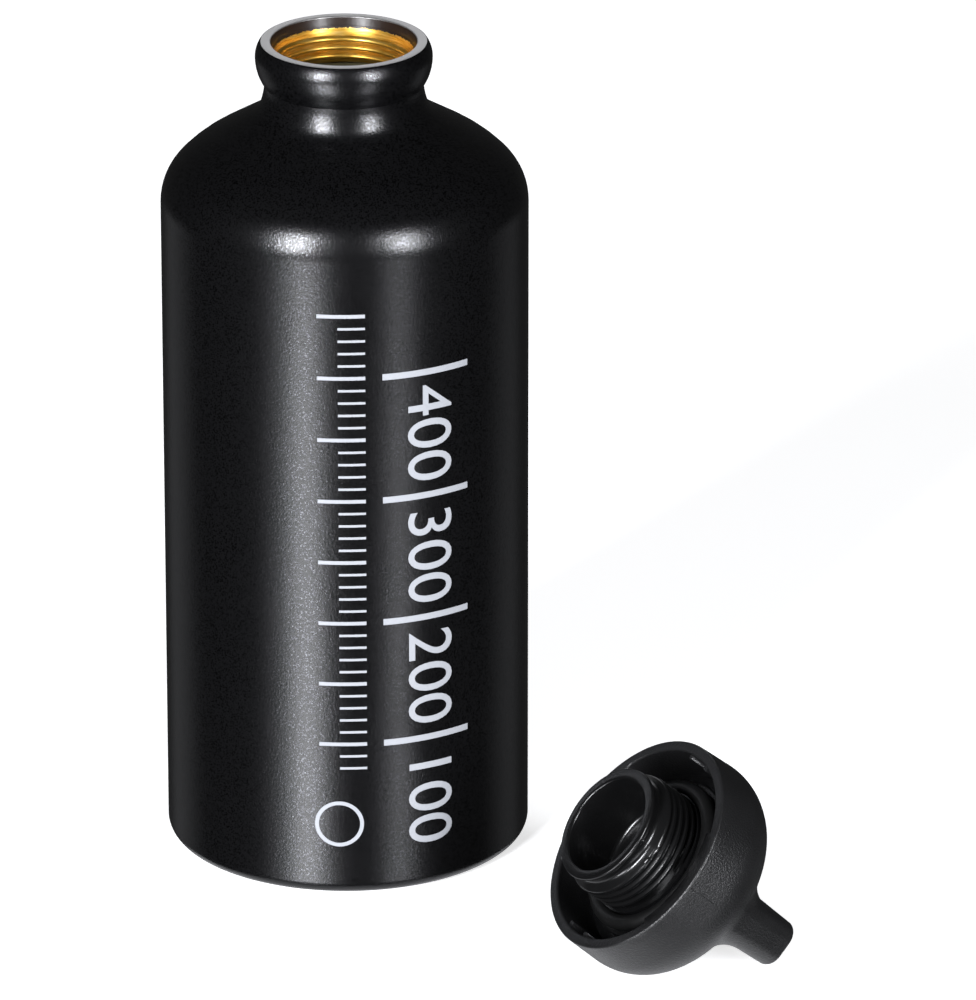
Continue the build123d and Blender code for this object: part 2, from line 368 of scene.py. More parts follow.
lip_finish = lip_lacquer()

# %% [markdown]
# ## Gold lacquer
# The thread ring is lacquered gold. One gold colour looks like plastic here. Streaks that are stretched round the
# ring move it at random along a ramp of three golds, from deeper to paler, and fine pits break the gloss.

# %% Gold lacquer of the thread ring
GOLD_DEEP = (0.46, 0.205, 0.018, 1)
GOLD_PALE = (0.88, 0.64, 0.21, 1)
GOLD_STRETCH = (0.25, 0.25, 3.0)


def gold_lacquer():
    gold = Finish("gold_lacquer", Specular_IOR_Level=0.4)
    dark = above_ragged_line(gold)
    bands = gold.noise(900, 3, 0.6, gold.stretched(GOLD_STRETCH))
    pits = gold.noise(3800, 2, 0.5)
    yellow = gold.ramp(bands, [(0.25, GOLD_DEEP), (0.5, GOLD), (0.8, GOLD_PALE)])
    gold.set("Base Color", gold.blend(dark, yellow, LIP_DARK))
    gold.set("Metallic", (1 - dark) * 0.84)
    gold.set("Roughness", 0.27 + pits * 0.16)
    gold.bump(bands + pits * 0.4, 0.00005, 0.35)
    return gold.done()


gold_finish = gold_lacquer()

# %% [markdown]
# ## Lacquer inside the bottle
# The inside has the same gold lacquer as the ring, but here it is painted a duller, greener tone: painted shade for
# the dim light deep in the neck. Only a strip of it shows below the thread. Soft clouds are enough for that, and they
# keep the strip from looking flat.

# %% Inner lacquer, painted darker as shade
# These two tones are painted shade: the ring's lacquer made duller and greener for the dim light deep in the neck.
INNER_SHADE_DARK = (0.26, 0.23, 0.12, 1)
INNER_SHADE_PALE = (0.36, 0.32, 0.17, 1)


def shaded_inner_lacquer():
    inner = Finish("shaded_inner_lacquer", Metallic=0.75)
    cloud = inner.noise(60, 3)
    inner.set("Base Color", inner.blend(cloud, INNER_SHADE_DARK, INNER_SHADE_PALE))
    inner.set("Roughness", 0.34 + cloud * 0.14)
    inner.bump(inner.noise(1800, 2), 0.00004, 0.3)
    return inner.done()


shaded_inner_finish = shaded_inner_lacquer()

# %% [markdown]
# ## Cap plastics
# The bell comes out of a spark-eroded mould, so it has a fine matt grain. The plug's thread is polished in its mould
# and shines more. Both are the same black plastic, so one function makes both, with the shade, the gloss and the
# depth of the grain as its arguments.

# %% Moulded black plastic
WEAR = 1.8
BLUE_SHARE = 1.04
WORN_BLUE_SHARE = 1.86


def moulded_plastic(name, shade, gloss, grain_depth):
    plastic = Finish(name, Specular_IOR_Level=0.5)
    grain = plastic.noise(2400, 3, 0.6)
    cloud = plastic.noise(140, 3)
    black = (shade, shade, shade * BLUE_SHARE, 1)
    worn = (shade * WEAR, shade * WEAR, shade * WORN_BLUE_SHARE, 1)
    plastic.set("Base Color", plastic.blend(cloud, black, worn))
    plastic.set("Roughness", gloss + cloud * 0.10 + grain * 0.04)
    plastic.bump(grain, grain_depth, 0.8)
    return plastic.done()


# The bell's shade is more than twice the plug's, though both are the same plastic: a painted sheen for its grained
# skin.
bell_finish = moulded_plastic("bell_plastic", shade=0.0064, gloss=0.26, grain_depth=0.00016)
plug_finish = moulded_plastic("plug_plastic", shade=0.0028, gloss=0.15, grain_depth=0.000025)

# %% [markdown]
# ## Rubber and spring steel
# Rubber gets a dull bloom as it ages, so its shade and gloss drift in soft clouds. The spring washer is cut from
# rolled strip, whose fine streaks all run one way. A noise that is stretched along one axis gives them, where an
# even noise would look cast.

# %% Rubber
RUBBER_DARK = (0.0034, 0.0034, 0.0034, 1)
RUBBER_BLOOM = (0.0062, 0.0062, 0.0062, 1)


def seal_rubber():
    rubber = Finish("seal_rubber", Specular_IOR_Level=0.4)
    bloom = rubber.noise(500, 3)
    rubber.set("Base Color", rubber.blend(bloom, RUBBER_DARK, RUBBER_BLOOM))
    rubber.set("Roughness", 0.34 + bloom * 0.14)
    rubber.bump(rubber.noise(2600, 2), 0.00003, 0.4)
    return rubber.done()


rubber_finish = seal_rubber()

# %% Spring steel
STEEL_DARK = (0.36, 0.36, 0.37, 1)
STEEL_PALE = (0.52, 0.52, 0.53, 1)
ROLLING_STRETCH = (4.0, 0.4, 1.0)


def spring_steel():
    steel = Finish("spring_steel", Metallic=1.0)
    rolled = steel.noise(900, 3, 0.6, steel.stretched(ROLLING_STRETCH))
    steel.set("Base Color", steel.blend(rolled, STEEL_DARK, STEEL_PALE))
    steel.set("Roughness", 0.27 + rolled * 0.15)
    steel.bump(rolled, 0.00002, 0.4)
    return steel.done()


steel_finish = spring_steel()


# %% [markdown]
# ## The bottle
# The shell is one piece of aluminium from base to bead: drawn from a slug, necked in and rolled over at the mouth.
# It could be a surface with a Solidify modifier, but the wall is thicker in the base and in the bead. So it is one
# closed outline, outside and inside, and both sides take their arcs from the same values.

# %% Sizes of the bottle, in millimetres
HEIGHT = 168.2
SIDE_RADIUS = 36.5
SIDE_TOP = 134.9
WALL = 1.1
BASE_WALL = 1.8
DISH_RISE = 4.2
DISH_SLOPE = 16.0
FOOT_ROUND = 2.0
BASE_CORNER = 2.9
FLOOR_CORNER = 3.0
DISH_RADIUS = DISH_RISE / (1 - cos(radians(DISH_SLOPE))) - FOOT_ROUND
print("the base is dished with a radius of", round(DISH_RADIUS, 1), "mm")

# %% Shoulder, crown and neck: each arc has a radius and a turn in degrees
SHOULDER_ARC, SHOULDER_TURN = 11.3, 43.7
CROWN_ARC, CROWN_TURN = 29.4, 15.7
CROWN_RUN = 9.4
FLARE_ARC, FLARE_TURN = 5.8, -45.8
FLARE_RUN = 1.03
NECK_ARC, NECK_TURN = 9.7, -13.8


def shoulder(pen, inset):
    """Side, shoulder, crown and flared neck, moved inwards by inset."""
    pen.to(SIDE_RADIUS - inset, SIDE_TOP)
    pen.bend(SHOULDER_ARC - inset, SHOULDER_TURN).bend(CROWN_ARC - inset, CROWN_TURN).on(CROWN_RUN)
    pen.bend(FLARE_ARC + inset, FLARE_TURN).on(FLARE_RUN).bend(NECK_ARC + inset, NECK_TURN)


# %% Bead: a larger arc below its widest line and a smaller one above
BEAD_RADIUS = 17.56
BEAD_WALL = 1.3
BEAD_Z = HEIGHT - 3.15
BEAD_LOW = 9.86
BEAD_HIGH = 5.2
CREASE_DROP = 8.77
SEAT_DROP = 8.4
MOUTH_RADIUS = 14.5
LIP_RADIUS = 14.0
LIP_DEPTH = 1.7


def bead_spot(drop, inset):
    """A point of the bead's outline at a drop below the rim, and the angle there about its centre."""
    arc = (BEAD_LOW if drop > HEIGHT - BEAD_Z else BEAD_HIGH) - inset
    rise = HEIGHT - BEAD_Z - drop
    reach = sqrt(arc**2 - rise**2)
    return BEAD_RADIUS - arc - inset + reach, HEIGHT - drop, degrees(atan2(rise, reach))


# %% The outline outside and over the rim
def bottle_outside():
    pen = Pen(0, DISH_RISE)
    pen.bend(DISH_RADIUS, -DISH_SLOPE).bend(FOOT_ROUND, DISH_SLOPE)
    pen.to(SIDE_RADIUS - BASE_CORNER, 0).bend(BASE_CORNER, 90)
    shoulder(pen, 0)
    x, z, low = bead_spot(CREASE_DROP, 0)
    pen.to(x, z).around(BEAD_RADIUS - BEAD_LOW, BEAD_Z, -low)
    high = bead_spot(0, 0)[2]
    pen.around(BEAD_RADIUS - BEAD_HIGH, BEAD_Z, high)
    pen.to(MOUTH_RADIUS, HEIGHT).to(LIP_RADIUS, HEIGHT - LIP_DEPTH)
    x, z, high = bead_spot(LIP_DEPTH, BEAD_WALL)
    pen.to(x, z).around(BEAD_RADIUS - BEAD_HIGH, BEAD_Z, -high)
    low = bead_spot(SEAT_DROP, BEAD_WALL)[2]
    return pen.around(BEAD_RADIUS - BEAD_LOW, BEAD_Z, low)


# %% The outline inside, drawn upwards and read back downwards
def bottle_inside():
    pen = Pen(0, DISH_RISE + BASE_WALL)
    pen.bend(DISH_RADIUS + BASE_WALL, -DISH_SLOPE).bend(FOOT_ROUND, DISH_SLOPE)
    pen.to(SIDE_RADIUS - WALL - FLOOR_CORNER, pen.tip.co.z / MM).bend(FLOOR_CORNER, 90)
    shoulder(pen, WALL)
    spots = [v.co / MM for v in pen.bm.verts]
    pen.bm.free()
    return reversed(spots)


# %% The bottle's outline, spun
RIM_ROUND = 0.16
MOUTH_ROUND = 0.14
outline = bottle_outside()
for spot in bottle_inside():
    outline.to(spot.x, spot.z)
outline.close()
rim_radius = bead_spot(0, 0)[0]
outline.round_off(rim_radius, HEIGHT, RIM_ROUND).round_off(MOUTH_RADIUS, HEIGHT, MOUTH_ROUND)
bottle = outline.turned()
bottle.normal_update()
print("the rim is", round(rim_radius - MOUTH_RADIUS, 2), "mm wide")

# %% [markdown]
# ## Which face gets which finish
# The shell shows four finishes: coat outside, bare metal on the rim, dark lacquer on the lip and lacquer inside.
# Four meshes would need seams between them. It is simpler to sort the faces of the one mesh by where they are and
# which way they look.

# %% Sorting the faces
COAT, RIM, LIP, INSIDE = range(4)
RIM_BAND = 0.2
RIM_EDGE = 0.08
LIP_MARGIN = 0.01
INSIDE_FROM = 8
FLOOR_TOP = 9.5
FLOOR_REACH = 35.4
FLOOR_TILT = 0.3


def zone(face):
    spot = face.calc_center_median()
    out = hypot(spot.x, spot.y) / MM
    up = spot.z / MM
    inwards = face.normal.x * spot.x + face.normal.y * spot.y < 0
    on_floor = face.normal.z > FLOOR_TILT and up < FLOOR_TOP and out < FLOOR_REACH
    if up > HEIGHT - RIM_BAND and out < rim_radius - RIM_EDGE:
        return RIM
    if inwards and up > HEIGHT - LIP_DEPTH - LIP_MARGIN:
        return LIP
    if on_floor or (inwards and up > INSIDE_FROM):
        return INSIDE
    return COAT


for face in bottle.faces:
    face.material_index = zone(face)
finish_piece(bottle, "bottle", "bottle", [coat_finish, rim_finish, lip_finish, shaded_inner_finish],
             ["bottle_shell"])


# %% [markdown]
# ## A thread
# A thread is one ridge that climbs round a wall. The Screw modifier could make it, but its ends would be cut off
# square. Here a small tooth-shaped face is spun about the axis while it climbs by one pitch a turn, and towards both
# ends the ridge sinks into the wall, as a moulded or rolled thread does.

# %% A ridge that climbs round Z
PITCH = 1.75
STEPS_A_TURN = 96
FLANK_SHARE = 0.62
END_SHARE = 0.2


def thread_ridge(bm, root, crest, root_half, crest_half, low, turns, fade=0.18):
    """Adds a helical ridge from root to crest radius, whose ends fade into the wall over part of a turn."""
    before = len(bm.verts)
    mid, mid_half = root + (crest - root) * FLANK_SHARE, (root_half + crest_half) / 2
    corners = [(root, -root_half), (mid, -mid_half), (crest, -crest_half),
               (crest, crest_half), (mid, mid_half), (root, root_half)]
    made = [bm.verts.new((r * MM, 0, (low + h) * MM)) for r, h in corners]
    tooth = bm.faces.new(made)
    steps = int(turns * STEPS_A_TURN)
    bmesh.ops.spin(bm, geom=made + tooth.edges[:] + [tooth], cent=(0, 0, 0), axis=(0, 0, 1),
                   dvec=(0, 0, PITCH * MM / STEPS_A_TURN), angle=tau * steps / STEPS_A_TURN, steps=steps)
    bm.verts.ensure_lookup_table()
    fading = fade * STEPS_A_TURN
    for number, vert in enumerate(bm.verts[before:]):
        step = number // len(corners)
        share = min(1.0, (step + END_SHARE) / fading, (steps - step + END_SHARE) / fading)
        out = hypot(vert.co.x, vert.co.y) / MM
        kept = root + (out - root) * share
        vert.co.x *= kept / out
        vert.co.y *= kept / out
    print("a ridge of", turns, "turns at a pitch of", PITCH, "mm")


# %% [markdown]
# ## The thread ring
# The ring is a piece of its own that sits in the bead and carries the thread. Its back follows the bead, so it is
# drawn with the bead's own arcs, moved inwards by the wall and a small clearance. A plain tube would leave a gap
# that shows from above.

# %% Ring body
RING_FIT = 0.05
RING_TOP = HEIGHT - LIP_DEPTH - RING_FIT
RING_BOTTOM = HEIGHT - 9.4
RING_WALL = 13.45
RING_LEAD = 1.2
RING_TAIL = 0.5
TAIL_RADIUS = 14.2
TAIL_STEP = 0.4
BACK_DROP = 8.2


def ring_outline():
    pen = Pen(TAIL_RADIUS, RING_BOTTOM)
    x, z, low = bead_spot(BACK_DROP, BEAD_WALL + RING_FIT)
    pen.to(TAIL_RADIUS, z - TAIL_STEP).to(x, z)
    pen.around(BEAD_RADIUS - BEAD_LOW, BEAD_Z, -low)
    high = bead_spot(LIP_DEPTH + RING_FIT, BEAD_WALL + RING_FIT)[2]
    pen.around(BEAD_RADIUS - BEAD_HIGH, BEAD_Z, high)
    pen.to(LIP_RADIUS, RING_TOP).to(RING_WALL, RING_TOP - RING_LEAD)
    pen.to(RING_WALL, RING_BOTTOM + RING_TAIL).to(RING_WALL + RING_TAIL, RING_BOTTOM)
    return pen.close()


ring = ring_outline().turned()

# %% The ring's ridge
RING_CREST = 12.72
RING_SINK = 0.04
RING_THREAD_START = 1.1
thread_ridge(ring, RING_WALL + RING_SINK, RING_CREST, root_half=0.78, crest_half=0.22,
             low=RING_BOTTOM + RING_THREAD_START, turns=3.0)
bmesh.ops.recalc_face_normals(ring, faces=ring.faces)
finish_piece(ring, "thread_ring_gold", "bottle", [gold_finish], ["thread_ring"], crease=55.0)


# %% [markdown]
# ## The cap's own frame
# The cap lies tilted on the floor. Drawing it tilted would make every number hard to read, so its pieces are drawn
# upright, rim at z = 0 and handle up, and then moved by one matrix. That matrix comes from the joint about which the
# bell turns, so it can't drift from the solids.

# %% Matrix from the cap's frame to the floor
joints = {joint["name"]: joint for joint in frame["record"]["behaviour"]["joints"]}
turning = joints["bell_turn"]
handle_way = Vector(turning["axis"]).normalized()
level_way = Vector((handle_way.y, -handle_way.x, 0)).normalized()
side_way = handle_way.cross(level_way)
cap_matrix = Matrix.Translation(turning["pos_m"]) @ Matrix((level_way, side_way, handle_way)).transposed().to_4x4()
print("cap leans", round(degrees(acos(handle_way.z)), 2), "degrees from upright")


def lay_down(bm):
    """Moves an upright piece to where the cap lies."""
    bmesh.ops.transform(bm, matrix=cap_matrix, verts=bm.verts)
    bmesh.ops.recalc_face_normals(bm, faces=bm.faces)
    return bm


# %% [markdown]
# ## The plug
# The plug looks turned but is moulded: a hollow nose with a thick rounded lip, a plain collar, the thread, the
# seal's seat and two flanges. Its outline is a table of corners, each with its own rounding, because moulded
# plastic has no sharp edge and every rounding catches a thin line of light. The thread is a ridge on a thinner core.

# %% The plug's corners: radius, height and rounding, in millimetres
CORE = 12.35
NOSE_END = -8.5
FLANGE_TOP = 10.1
PLUG_CORNERS = [
    (10.1, NOSE_END, 0.4), (12.2, NOSE_END, 0.3),  # the nose's lip
    (12.2, -7.65, 0.2), (11.45, -7.3, 0.4), (11.4, -5.4, 0.6),  # the relief behind the lip
    (13.0, -4.6, 0.25), (13.15, -3.95, 0.15), (CORE, -3.5, 0.15),  # the collar
    (CORE, 2.7, 0), (12.3, 2.8, 0), (12.3, 3.5, 0),  # the thread's core and its undercut
    (13.4, 3.5, 0), (13.4, 6.4, 0),  # the seal's seat
    (17.2, 6.4, 0.25), (17.2, 8.4, 0),  # the flange that the seal lies on
    (19.3, 8.4, 0.25), (19.3, FLANGE_TOP, 0.25),  # the flange that carries the teeth
    (4.8, FLANGE_TOP, 0), (4.8, 14.4, 0.5), (0, 14.4, 0),  # the spigot
]
BORE_FLOOR = 3.9
BORE_REACH = 8.9
BORE_ROUND = 1.2
plug_pen = Pen(0, BORE_FLOOR).to(BORE_REACH, BORE_FLOOR).bend(BORE_ROUND, -90)
for x, z, rounding in PLUG_CORNERS:
    plug_pen.to(x, z)
for x, z, rounding in PLUG_CORNERS:
    if rounding:
        plug_pen.round_off(x, z, rounding)
plug = plug_pen.turned()

# %% The plug's ridge
PLUG_CREST = 13.2
PLUG_SINK = 0.05
PLUG_THREAD_START = -4.3
thread_ridge(plug, CORE - PLUG_SINK, PLUG_CREST, root_half=0.76, crest_half=0.24,
             low=PLUG_THREAD_START, turns=4.0, fade=0.1)

# %% [markdown]
# ## Drive teeth
# Eight teeth stand on the upper flange, where the webs in the bell push against them. Each is a cube whose upper
# face is drawn in, because a moulded tooth has drafted sides. They hide under the bell, so a plain form will do.

# %% Drive teeth on the upper flange
TEETH = 8
TOOTH_SIZE = (5.0 * MM, 2.4 * MM, 1.7 * MM, 1)
TOOTH_DRAFT = (0.87, 0.72, 1)
TOOTH_MIDDLE = 16.1
TOOTH_LIFT = 0.75
for number in range(TEETH):
    tooth = bmesh.ops.create_cube(plug, size=1.0, matrix=Matrix.Diagonal(TOOTH_SIZE))["verts"]
    upper = [vert for vert in tooth if vert.co.z > 0]
    bmesh.ops.scale(plug, verts=upper, vec=TOOTH_DRAFT)
    bmesh.ops.translate(plug, verts=tooth, vec=(TOOTH_MIDDLE * MM, 0, (FLANGE_TOP + TOOTH_LIFT) * MM))
    bmesh.ops.rotate(plug, verts=tooth, cent=(0, 0, 0), matrix=Matrix.Rotation(tau * number / TEETH, 3, "Z"))
finish_piece(lay_down(plug), "plug_moulding", "cap_plug", [plug_finish], ["plug"], crease=50.0)


# %% [markdown]
# ## The seal ring
# A round rubber ring lies on the plug's lower flange. A torus primitive would do as well. A small circle that is
# spun about the axis shows how such a primitive is made, and leaves the number of its segments to us.

# %% Seal ring
SEAL_RADIUS = 14.95
SEAL_Z = 4.85
SEAL_WIRE = 1.5
SEAL_SEGMENTS = 28
SEAL_STEPS = 128
seal = bmesh.new()
wire_place = Matrix.Translation((SEAL_RADIUS * MM, 0, SEAL_Z * MM)) @ Matrix.Rotation(pi / 2, 4, "X")
bmesh.ops.create_circle(seal, cap_ends=False, segments=SEAL_SEGMENTS, radius=SEAL_WIRE * MM, matrix=wire_place)
bmesh.ops.spin(seal, geom=seal.verts[:] + seal.edges[:], cent=(0, 0, 0), axis=(0, 0, 1), angle=tau,
               steps=SEAL_STEPS, use_merge=True)
bmesh.ops.remove_doubles(seal, verts=seal.verts, dist=WELD)
finish_piece(lay_down(seal), "seal_ring_rubber", "cap_plug", [rubber_finish], ["seal_ring"])


# %% [markdown]
# ## The bell
# The bell is a moulding with a dome, a fin that runs into it, lands and ribs. Building that again as a mesh would
# only risk drifting from the solid. The solid already has its rounds at a fine grain, so a copy of its mesh is
# welded along the faces' borders and shaded smooth.

# %% Bell from its solid
def merged_copy(node):
    bm = bmesh.new()
    bm.from_mesh(frame["nodes"][node].data)
    bmesh.ops.transform(bm, matrix=frame["nodes"][node].matrix_world, verts=bm.verts)
    bmesh.ops.remove_doubles(bm, verts=bm.verts, dist=WELD)
    return bm


finish_piece(merged_copy("bell"), "bell_moulding", "cap_bell", [bell_finish], ["bell"], crease=25.0)

# %% [markdown]
# ## The parting line
# Where the two halves of a mould meet, a little plastic creeps in and leaves a fine ridge up the skirt. A bump
# would give a line that never breaks the outline. A thin ridge of real faces does, so one is laid on each end.

# %% Parting line of the bell's mould
PARTING_FOOT = 0.5
PARTING_RISE = 6.9
PARTING_LEAN = 0.25
PARTING_CORNERS = [(22.86, -0.17), (22.99, -0.06), (22.99, 0.06), (22.86, 0.17)]
parting = bmesh.new()
for side in (1, -1):
    ends = [parting.verts.new((side * x * MM, y * MM, PARTING_FOOT * MM)) for x, y in PARTING_CORNERS]
    up = bmesh.ops.extrude_face_region(parting, geom=[parting.faces.new(ends)])
    bmesh.ops.translate(parting, verts=moved_verts(up["geom"]), vec=(side * PARTING_LEAN * MM, 0, PARTING_RISE * MM))
finish_piece(lay_down(parting), "bell_parting_line", "cap_bell", [bell_finish])


# %% [markdown]
# ## The spring washer
# A shallow cone of spring steel lifts the bell off the teeth. It is a thin outline spun about the axis.
# A rigid copy would sink into the flange when the bell is pushed, where the real washer flattens towards the bell's
# hub and its foot stays where it stands. Here only the share of its height that it keeps at full push is worked out.

# %% Spring washer
WASHER_FIT = 0.05
HUB_GAP = 1.95
WASHER_FOOT = FLANGE_TOP + WASHER_FIT
WASHER_TOP = FLANGE_TOP + HUB_GAP - WASHER_FIT
WASHER_THICKNESS = 0.6
WASHER_OUTER = 12.4
WASHER_INNER = 5.1
washer_pen = Pen(WASHER_OUTER, WASHER_FOOT)
washer_pen.to(WASHER_OUTER, WASHER_FOOT + WASHER_THICKNESS).to(WASHER_INNER, WASHER_TOP)
washer_pen.to(WASHER_INNER, WASHER_TOP - WASHER_THICKNESS).close()
washer_piece = finish_piece(lay_down(washer_pen.turned()), "washer_steel", "cap_spring",
                            [steel_finish], ["spring_washer"])

# %% How far it would flatten
washer_height = (WASHER_TOP - WASHER_FOOT) * MM
kept_share = 1 - joints["bell_push"]["range_m"][1] / washer_height
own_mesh(washer_piece)
print("at full push the washer keeps", round(kept_share, 3), "of its height")


# %% [markdown]
# ## Ink
# The print is a light grey ink that was screened on. Ink isn't quite even, so a fine noise moves its shade and its
# gloss a little. Painted into the coat's own material it would need an image. As thin geometry it stays sharp.

# %% Ink
INK = 0.03
INK_GREY = (0.27, 0.28, 0.30, 1)
INK_PALE = (0.34, 0.35, 0.375, 1)


def print_ink():
    ink = Finish("print_ink", Specular_IOR_Level=0.35)
    wear = ink.noise(2400, 3, 0.6)
    ink.set("Base Color", ink.blend(wear, INK_GREY, INK_PALE))
    ink.set("Roughness", 0.40 + wear * 0.12)
    ink.bump(ink.noise(2600, 2), 0.00004, 0.4)
    return ink.done()


ink_finish = print_ink()

# %% [markdown]
# ## Wrapping print round the bottle
# Marks are easy to draw flat and hard to draw on a cylinder. A Shrinkwrap would pull them to the nearest point and
# narrow them. So each mark is drawn flat in millimetres, sliced every millimetre so that it can bend, given the
# ink's thickness, and rolled on: its width becomes an angle.

# %% Rolling flat print on to the side
SLICE = 1.0
ON_PLANE = 1e-5


def wrap_print(bm, name):
    """Slices flat print, gives it its ink's thickness and wraps it round the side."""
    cut = floor(min(v.co.x for v in bm.verts)) + SLICE / 2
    end = max(v.co.x for v in bm.verts)
    while cut < end:
        bmesh.ops.bisect_plane(bm, geom=bm.verts[:] + bm.edges[:] + bm.faces[:], plane_co=(cut, 0, 0),
                               plane_no=(1, 0, 0), dist=ON_PLANE)
        cut += SLICE
    up = bmesh.ops.extrude_face_region(bm, geom=bm.faces[:])
    bmesh.ops.translate(bm, verts=moved_verts(up["geom"]), vec=(0, 0, 2 * INK))
    for vert in bm.verts:
        turn = vert.co.x / SIDE_RADIUS - pi / 2
        out = SIDE_RADIUS - INK + vert.co.z
        vert.co = Vector((out * cos(turn), out * sin(turn), vert.co.y)) * MM
    bmesh.ops.recalc_face_normals(bm, faces=bm.faces)
    finish_piece(bm, name, "bottle", [ink_finish], crease=40.0)


# %% [markdown]
# ## The filling scale
# A plain scale runs up the front: a line for each level, and a row of ticks beside it, of which every fifth is
# longer. A loop over the levels and the steps keeps the spacing exact, where copies placed by hand would drift.

# %% Lines and ticks, in millimetres on the flat
LEVELS = [33.0, 59.0, 85.0, 111.0]
LINE_LEFT, LINE_RIGHT, LINE_THICK = 7.8, 26.6, 1.3
TICKS, TICK_STEP = 38, 2.6
FIRST_TICK = LEVELS[0] - 2 * TICK_STEP
TICK_RIGHT = 4.4
SHORT_TICK, SHORT_THICK = 5.4, 0.5
LONG_TICK, LONG_THICK = 9.5, 0.75


def bar(bm, left, right, middle, thick):
    made = bmesh.ops.create_grid(bm, x_segments=1, y_segments=1, size=0.5)
    bmesh.ops.scale(bm, verts=made["verts"], vec=(right - left, thick, 1))
    bmesh.ops.translate(bm, verts=made["verts"], vec=((left + right) / 2, middle, 0))


scale_marks = bmesh.new()
for level in LEVELS:
    bar(scale_marks, LINE_LEFT, LINE_RIGHT, level, LINE_THICK)
for step in range(TICKS):
    length, thick = (LONG_TICK, LONG_THICK) if step % 5 == 2 else (SHORT_TICK, SHORT_THICK)
    bar(scale_marks, TICK_RIGHT - length, TICK_RIGHT, FIRST_TICK + step * TICK_STEP, thick)
wrap_print(scale_marks, "filling_scale")

# %% [markdown]
# ## The numbers
# Plain numbers stand under the lines and read down the bottle. Blender's own text object draws them with its
# built-in font, so no file is needed. A text can't be sliced or rolled on, so it is turned into a mesh first.

# %% Numbers
NUMBERS = ["100", "200", "300", "400"]
NUMBER_SIZE = 13.8
NUMBER_ACROSS = 17.2
NUMBER_DROP = 13.0
NUMBER_WELD = 1e-4


def number_mark(bm, words, up):
    """A number turned to read down the bottle."""
    curve = bpy.data.curves.new("figures", "FONT")
    curve.body = words
    curve.size = NUMBER_SIZE
    curve.align_x = "CENTER"
    curve.align_y = "CENTER"
    curve.resolution_u = 6
    holder = bpy.data.objects.new("figures", curve)
    bpy.context.scene.collection.objects.link(holder)
    bpy.context.view_layer.update()
    mesh = bpy.data.meshes.new_from_object(holder.evaluated_get(bpy.context.evaluated_depsgraph_get()))
    bpy.data.objects.remove(holder)
    mesh.transform(Matrix.Translation((NUMBER_ACROSS, up, 0)) @ Matrix.Rotation(-pi / 2, 4, "Z"))
    bm.from_mesh(mesh)
    bpy.data.meshes.remove(mesh)


numbers = bmesh.new()
for level, words in zip(LEVELS, NUMBERS):
    number_mark(numbers, words, level - NUMBER_DROP)
bmesh.ops.remove_doubles(numbers, verts=numbers.verts, dist=NUMBER_WELD)
wrap_print(numbers, "scale_numbers")

# %% [markdown]
# ## A plain ring
# A printed ring stands near the base. It could be a torus that is pressed flat. An edge circle that is extruded and
# drawn in gives the same ring with two clean borders.

# %% Ring near the base
MARK_RADIUS = 4.9
MARK_HOLE = 0.84
MARK_PLACE = (-1.2, 15.7, 0)
mark = bmesh.new()
bmesh.ops.create_circle(mark, cap_ends=False, segments=72, radius=MARK_RADIUS)
made = bmesh.ops.extrude_edge_only(mark, edges=mark.edges[:])
bmesh.ops.scale(mark, verts=moved_verts(made["geom"]), vec=(MARK_HOLE, MARK_HOLE, 1))
bmesh.ops.translate(mark, verts=mark.verts, vec=MARK_PLACE)
wrap_print(mark, "ring_mark")

# %% [markdown]
# ## Floor
# The bottle stands on a pale table that fades into a white ground. A black glossy side mirrors such a table, and a
# plane would mirror as one even grey. So the plane is there for the camera only, with a little glow to keep it
# white. What a real table throws back comes from the low lights below it, which its shadow must not stop.

# %% Floor
FLOOR_SIZE = 12.0
FLOOR_GREY = (0.80, 0.80, 0.80, 1)
WHITE = (1, 1, 1, 1)
floor_bm = bmesh.new()
bmesh.ops.create_grid(floor_bm, x_segments=1, y_segments=1, size=FLOOR_SIZE)
floor_mesh = bpy.data.meshes.new("floor")
floor_bm.to_mesh(floor_mesh)
floor_bm.free()
floor_object = bpy.data.objects.new("floor", floor_mesh)
bpy.context.scene.collection.objects.link(floor_object)
floor_finish = Finish("floor_paint", Roughness=0.9, Emission_Strength=0.72)
floor_finish.set("Base Color", FLOOR_GREY)
floor_finish.set("Emission Color", WHITE)
floor_mesh.materials.append(floor_finish.done())
floor_object.visible_glossy = False
floor_object.visible_diffuse = False
floor_object.visible_shadow = False


# %% [markdown]
# ## Lights
# A dark glossy shape is drawn by what it mirrors. The camera looks down at the bottle by 22 degrees, so the upright
# side mirrors what lies 22 degrees below it, and the shoulder and the bead mirror what stands above. Each light
# therefore stands where one part of the shape looks: two tall boxes above for the shoulder and the neck, boxes below
# for the two upright bands and the edges, one behind for the flat rim and one underneath for the cap's skirt.

# %% One soft box
LIGHT_COLOUR = (0.945, 0.96, 1.0)
AIM = Vector((0.01, -0.01, 0.08))


def soft_box(name, azimuth, elevation, distance, width, height, watts):
    """An area light that looks at the bottle; azimuth 0 is the camera's side, and it grows to the right."""
    lamp = bpy.data.lights.new(name, "AREA")
    lamp.shape = "RECTANGLE"
    lamp.size = width
    lamp.size_y = height
    lamp.energy = watts
    lamp.color = LIGHT_COLOUR
    holder = bpy.data.objects.new(name, lamp)
    turn, rise = radians(azimuth), radians(elevation)
    way = Vector((sin(turn) * cos(rise), -cos(turn) * cos(rise), sin(rise)))
    holder.location = AIM + way * distance
    holder.rotation_mode = "QUATERNION"
    holder.rotation_quaternion = (-way).to_track_quat("-Z", "Y")
    holder.visible_camera = False
    bpy.context.scene.collection.objects.link(holder)


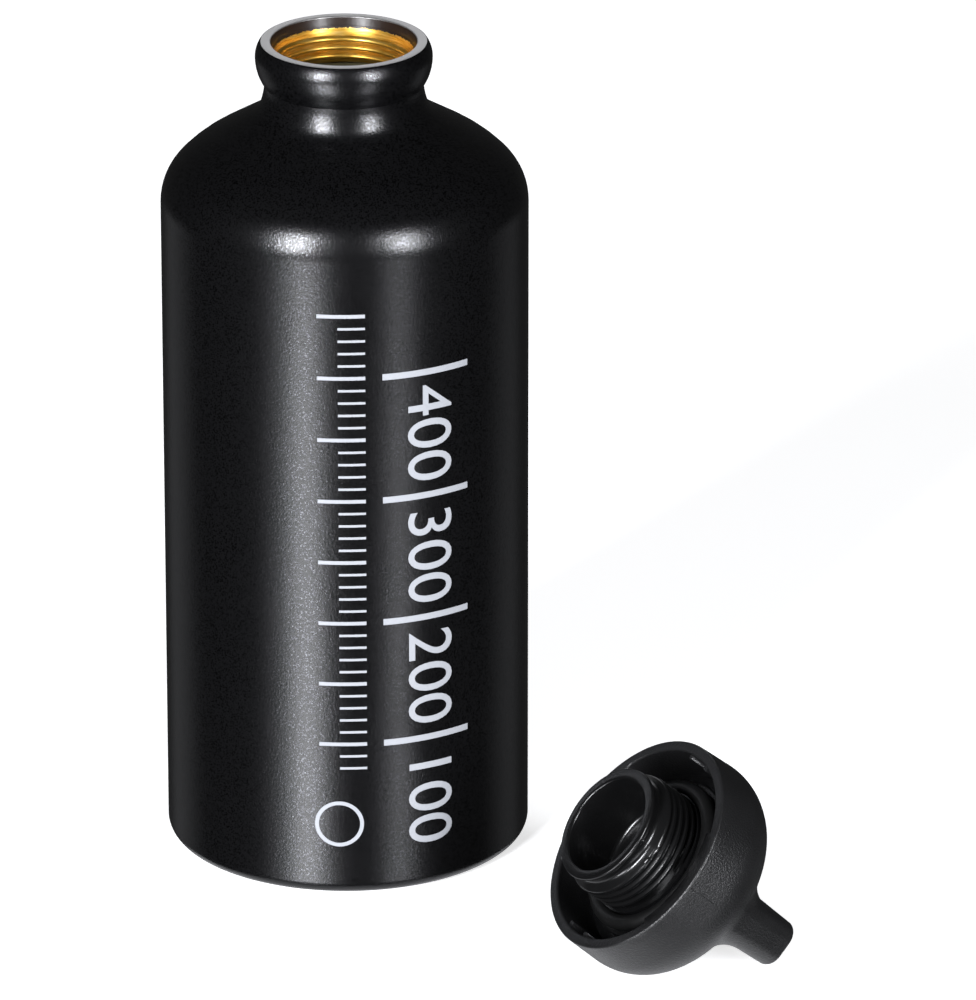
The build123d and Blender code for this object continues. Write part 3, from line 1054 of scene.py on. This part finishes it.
# %% The lights: azimuth and elevation in degrees, distance, width and height in metres, and watts
LIGHTS = [
    ("soft_box_left", -30, 17, 1.7, 0.33, 0.94, 54),
    ("soft_box_right", 37, 17, 1.7, 0.27, 0.88, 32),
    ("soft_box_left_low", -25, -27, 1.7, 0.42, 0.8, 13),
    ("soft_box_left_fill", -40, -27, 1.7, 0.44, 0.8, 1.1),
    ("soft_box_right_low", 34, -27, 1.7, 0.27, 0.8, 3.3),
    ("card_left", -130, -24, 1.7, 0.9, 0.6, 0.26),
    ("card_right", 122, -24, 1.7, 0.8, 0.6, 0.22),
    ("backdrop", 180, 22, 1.9, 0.8, 0.6, 1.6),
    ("table_glow", 180, -80, 0.8, 1.2, 1.2, 4.0),
]
for light in LIGHTS:
    soft_box(*light)
print(len(LIGHTS), "lights")

# %% [markdown]
# ## The room
# A room throws a little light on everything. A bright one would turn the black bottle grey all over, so it is kept
# very dim here, just enough to lift the deepest parts off pure black.

# %% World
ROOM_LIGHT = 0.026
world = bpy.data.worlds.new("room")
world.use_nodes = True
background = world.node_tree.nodes["Background"]
background.inputs["Color"].default_value = WHITE
background.inputs["Strength"].default_value = ROOM_LIGHT
bpy.context.scene.world = world
print("the room's strength is", ROOM_LIGHT)

# %% [markdown]
# ## Camera
# The camera stands far off with a long lens, as in a product picture, so the bottle hardly narrows downwards. Its
# place could be set by eye. Here it was solved from the ellipses of the base, the shoulder and the mouth. Standard
# colour keeps the ground as white as it is lit, where Filmic or AgX would grey it.

# %% Camera
SENSOR_MM = 36
LENS_MM = 355.14
CAMERA_PLACE = (0.02841, -1.8337, 0.81628)
CAMERA_PITCH = 67.87
bpy.context.scene.view_settings.view_transform = "Standard"
camera_data = bpy.data.cameras.new("camera")
camera_data.sensor_width = SENSOR_MM
camera_data.lens = LENS_MM
camera_data.clip_start = 0.1
camera_data.clip_end = 100
camera = bpy.data.objects.new("camera", camera_data)
camera.location = CAMERA_PLACE
camera.rotation_euler = (radians(CAMERA_PITCH), 0, 0)
bpy.context.scene.collection.objects.link(camera)
bpy.context.scene.camera = camera
print("the camera looks down by", round(90 - CAMERA_PITCH, 1), "degrees")
